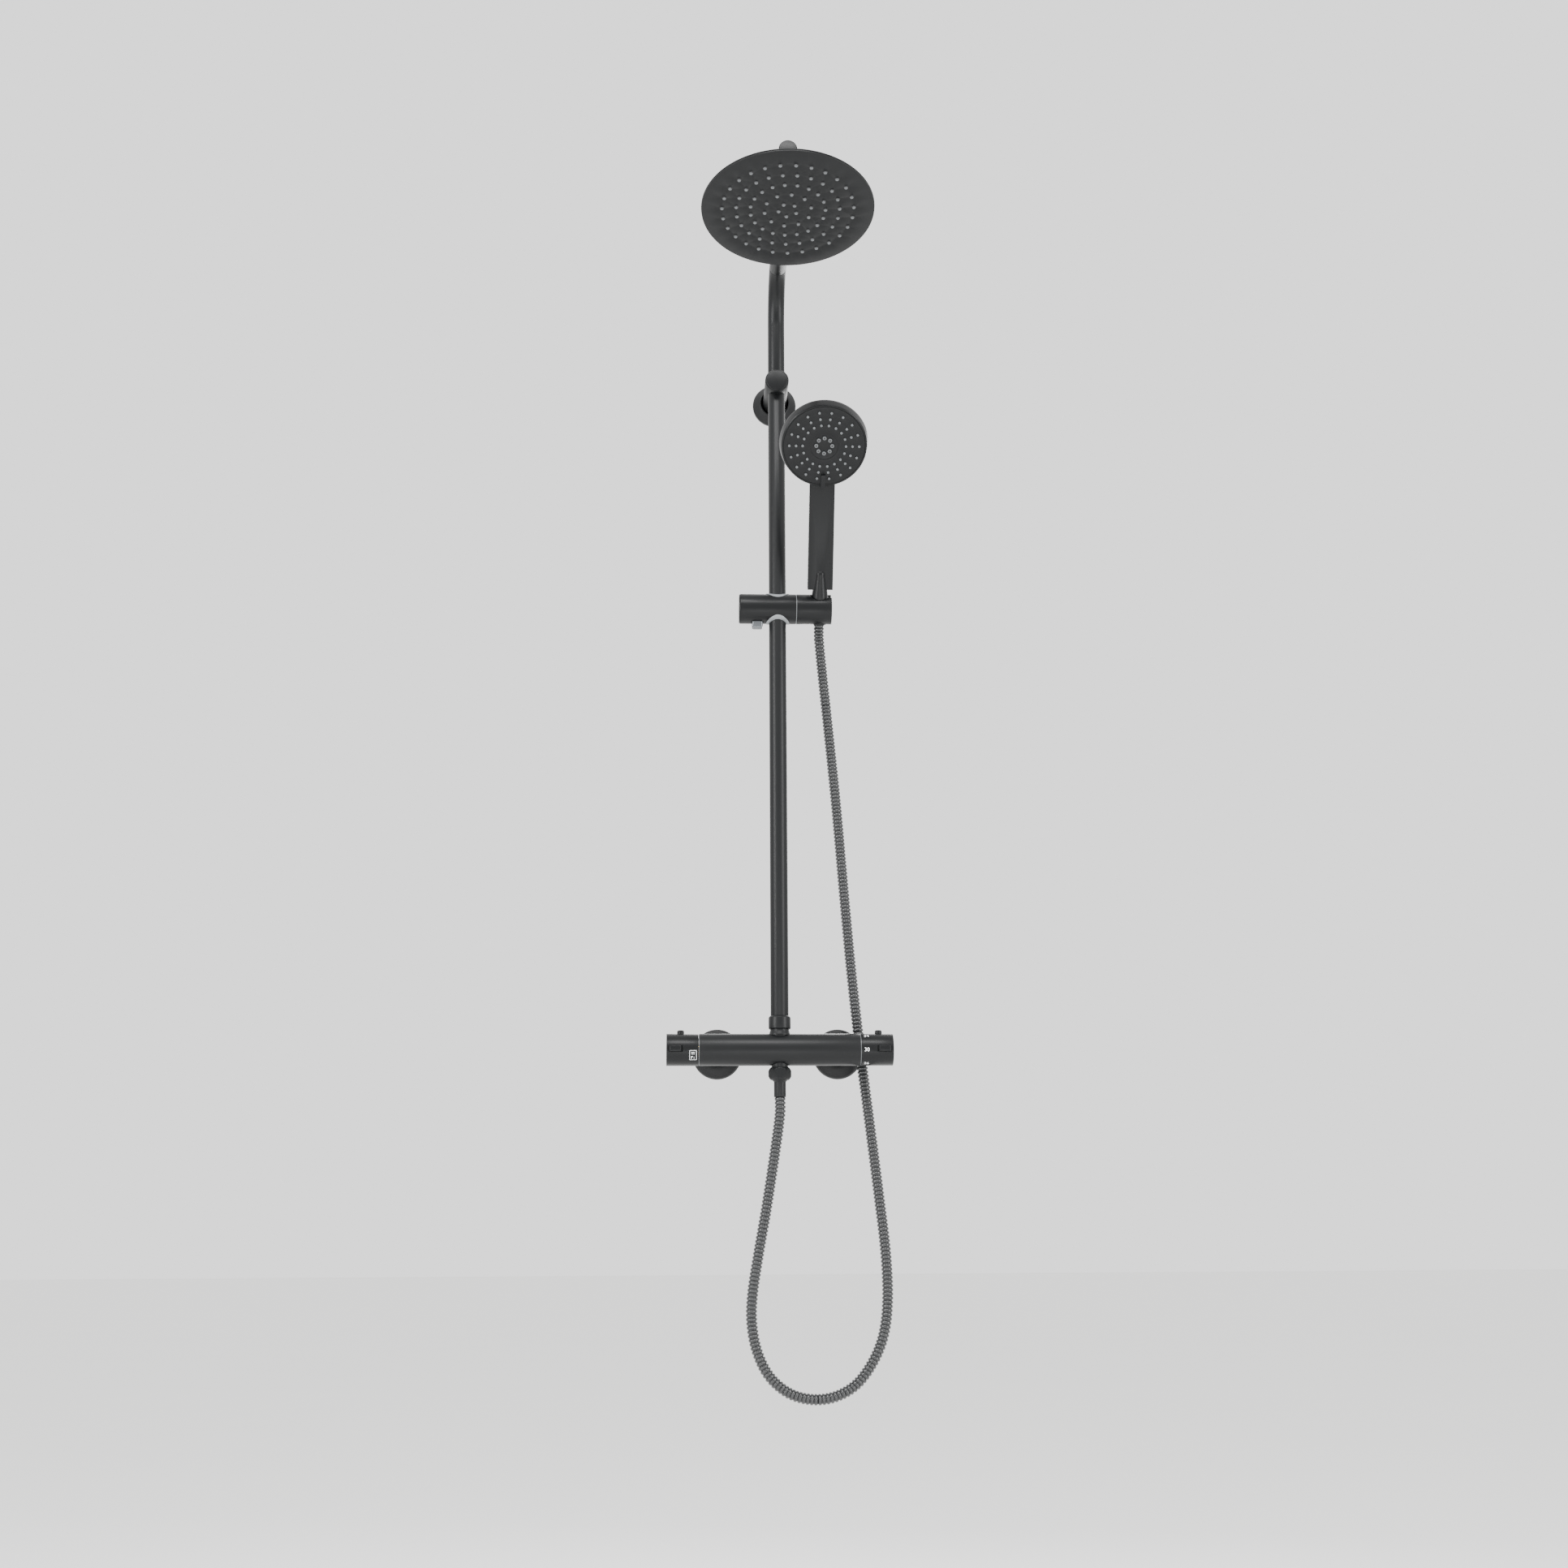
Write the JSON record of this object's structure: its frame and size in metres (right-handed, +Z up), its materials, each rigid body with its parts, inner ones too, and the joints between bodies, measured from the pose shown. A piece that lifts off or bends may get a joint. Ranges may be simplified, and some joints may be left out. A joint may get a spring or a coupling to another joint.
{
  "type": "shower_column",
  "caption": "Matte black wall-mounted thermostatic shower column with a rain head, a sliding tilting cradle, a handset with a turning spray face and a metal hose",
  "frame": {"origin": "the point on the wall midway between the centres of the two water inlets", "axes": "+X to the right as seen from the room, +Y into the wall, +Z up"},
  "size_m": [0.2748, 0.499, 1.4504],
  "materials": {
    "black_metal": "matte black powder coat",
    "black_plastic": "satin black",
    "grey_ring": "satin grey",
    "grey_button": "glossy grey",
    "silicone": "grey silicone",
    "seal": "black rubber",
    "brass": "turned",
    "steel": "brushed",
    "white_plastic": "natural nylon",
    "hose_black": "satin black interlock"
  },
  "bodies": {
    "column": {"valve_body": "black_metal", "thermo_cartridge": "brass", "diverter_cartridge": "brass", "thermo_stop_ring": "grey_ring", "diverter_stop_ring": "grey_ring", "inlet_union_left": "steel", "inlet_union_right": "steel", "inlet_nut_left": "black_metal", "inlet_nut_right": "black_metal", "wall_flange_left": "black_metal", "wall_flange_right": "black_metal", "inlet_filters": "white_plastic", "check_valves": "white_plastic", "riser_collar": "black_metal", "riser_seal": "seal", "riser_pipe": "black_metal", "riser_joiner": "brass", "shower_arm": "black_metal", "arm_end_cap": "black_plastic", "drop_outlet": "black_metal", "bracket_arm": "black_metal", "bracket_flange": "black_metal", "bracket_cap": "black_plastic", "bracket_plate": "steel", "bracket_grub_screw": "steel", "hose_nut": "black_metal", "hose_washer": "seal", "hose_ferrule": "black_metal", "hose": "hose_black"},
    "thermo_knob_unit": {"thermo_knob": "black_plastic", "thermo_spindle": "brass", "thermo_knob_screw": "steel", "thermo_knob_cap": "black_plastic", "thermo_spring": "steel"},
    "thermo_button_unit": {"thermo_button": "black_plastic"},
    "flow_knob_unit": {"flow_knob": "black_plastic", "flow_spindle": "brass", "flow_knob_screw": "steel", "flow_knob_cap": "black_plastic", "flow_spring": "steel"},
    "flow_button_unit": {"flow_button": "black_plastic"},
    "slider": {"slider_body": "black_plastic", "slider_liner": "grey_ring", "slider_end_cap": "black_plastic", "slider_friction_ring": "grey_ring", "cradle_screw": "steel", "brake_shoe": "seal", "slider_springs": "steel"},
    "slider_button_unit": {"slider_button": "grey_button"},
    "cradle_unit": {"cradle": "black_plastic"},
    "handset": {"handset_shell": "black_plastic", "handset_spray_core": "white_plastic", "hose_cone_nut": "black_metal"},
    "spray_selector": {"spray_face": "black_plastic", "spray_nozzles": "silicone"},
    "swivel": {"swivel_seat": "white_plastic"},
    "rain_head": {"rain_head_back": "black_metal", "rain_head_face": "black_metal", "rain_nozzles": "silicone"}
  },
  "joints": [
    {"name": "thermo_turn", "type": "hinge", "parent": "column", "child": "thermo_knob_unit", "pos_m": [0.11, -0.068, 0], "axis": [1, 0, 0], "range_deg": [-60, 150]},
    {"name": "thermo_press", "type": "slide", "parent": "thermo_knob_unit", "child": "thermo_button_unit", "axis": [0, 1, 0], "range_m": [0, 0.0015], "stiffness_N_per_m": 400, "springref_m": -0.001},
    {"name": "flow_turn", "type": "hinge", "parent": "column", "child": "flow_knob_unit", "pos_m": [-0.11, -0.068, 0], "axis": [1, 0, 0], "range_deg": [-90, 90]},
    {"name": "flow_press", "type": "slide", "parent": "flow_knob_unit", "child": "flow_button_unit", "axis": [0, 1, 0], "range_m": [0, 0.0015], "stiffness_N_per_m": 400, "springref_m": -0.001},
    {"name": "slider_slide", "type": "slide", "parent": "column", "child": "slider", "axis": [0, 0, 1], "range_m": [-0.43, 0.1], "deforming": ["hose"]},
    {"name": "slider_release", "type": "slide", "parent": "slider", "child": "slider_button_unit", "axis": [0, 0, 1], "range_m": [0, 0.002], "stiffness_N_per_m": 400, "springref_m": -0.001},
    {"name": "cradle_tilt", "type": "hinge", "parent": "slider", "child": "cradle_unit", "pos_m": [0.03, -0.068, 0.561], "axis": [1, 0, 0], "range_deg": [-22, 20]},
    {"name": "handset_lift", "type": "slide", "parent": "cradle_unit", "child": "handset", "axis": [0, -0.5299, 0.848], "range_m": [0, 0.03]},
    {"name": "spray_turn", "type": "hinge", "parent": "handset", "child": "spray_selector", "pos_m": [0.054, -0.18935, 0.73634], "axis": [0, -0.7314, -0.682], "range_deg": [-28, 28]},
    {"name": "rain_tilt", "type": "hinge", "parent": "column", "child": "swivel", "pos_m": [0, -0.37749, 0.99014], "axis": [1, 0, 0], "range_deg": [-4, 20]},
    {"name": "rain_sway", "type": "hinge", "parent": "swivel", "child": "rain_head", "pos_m": [0, -0.37749, 0.99014], "axis": [0, 0.9816, -0.1908], "range_deg": [-12, 12]}
  ]
}
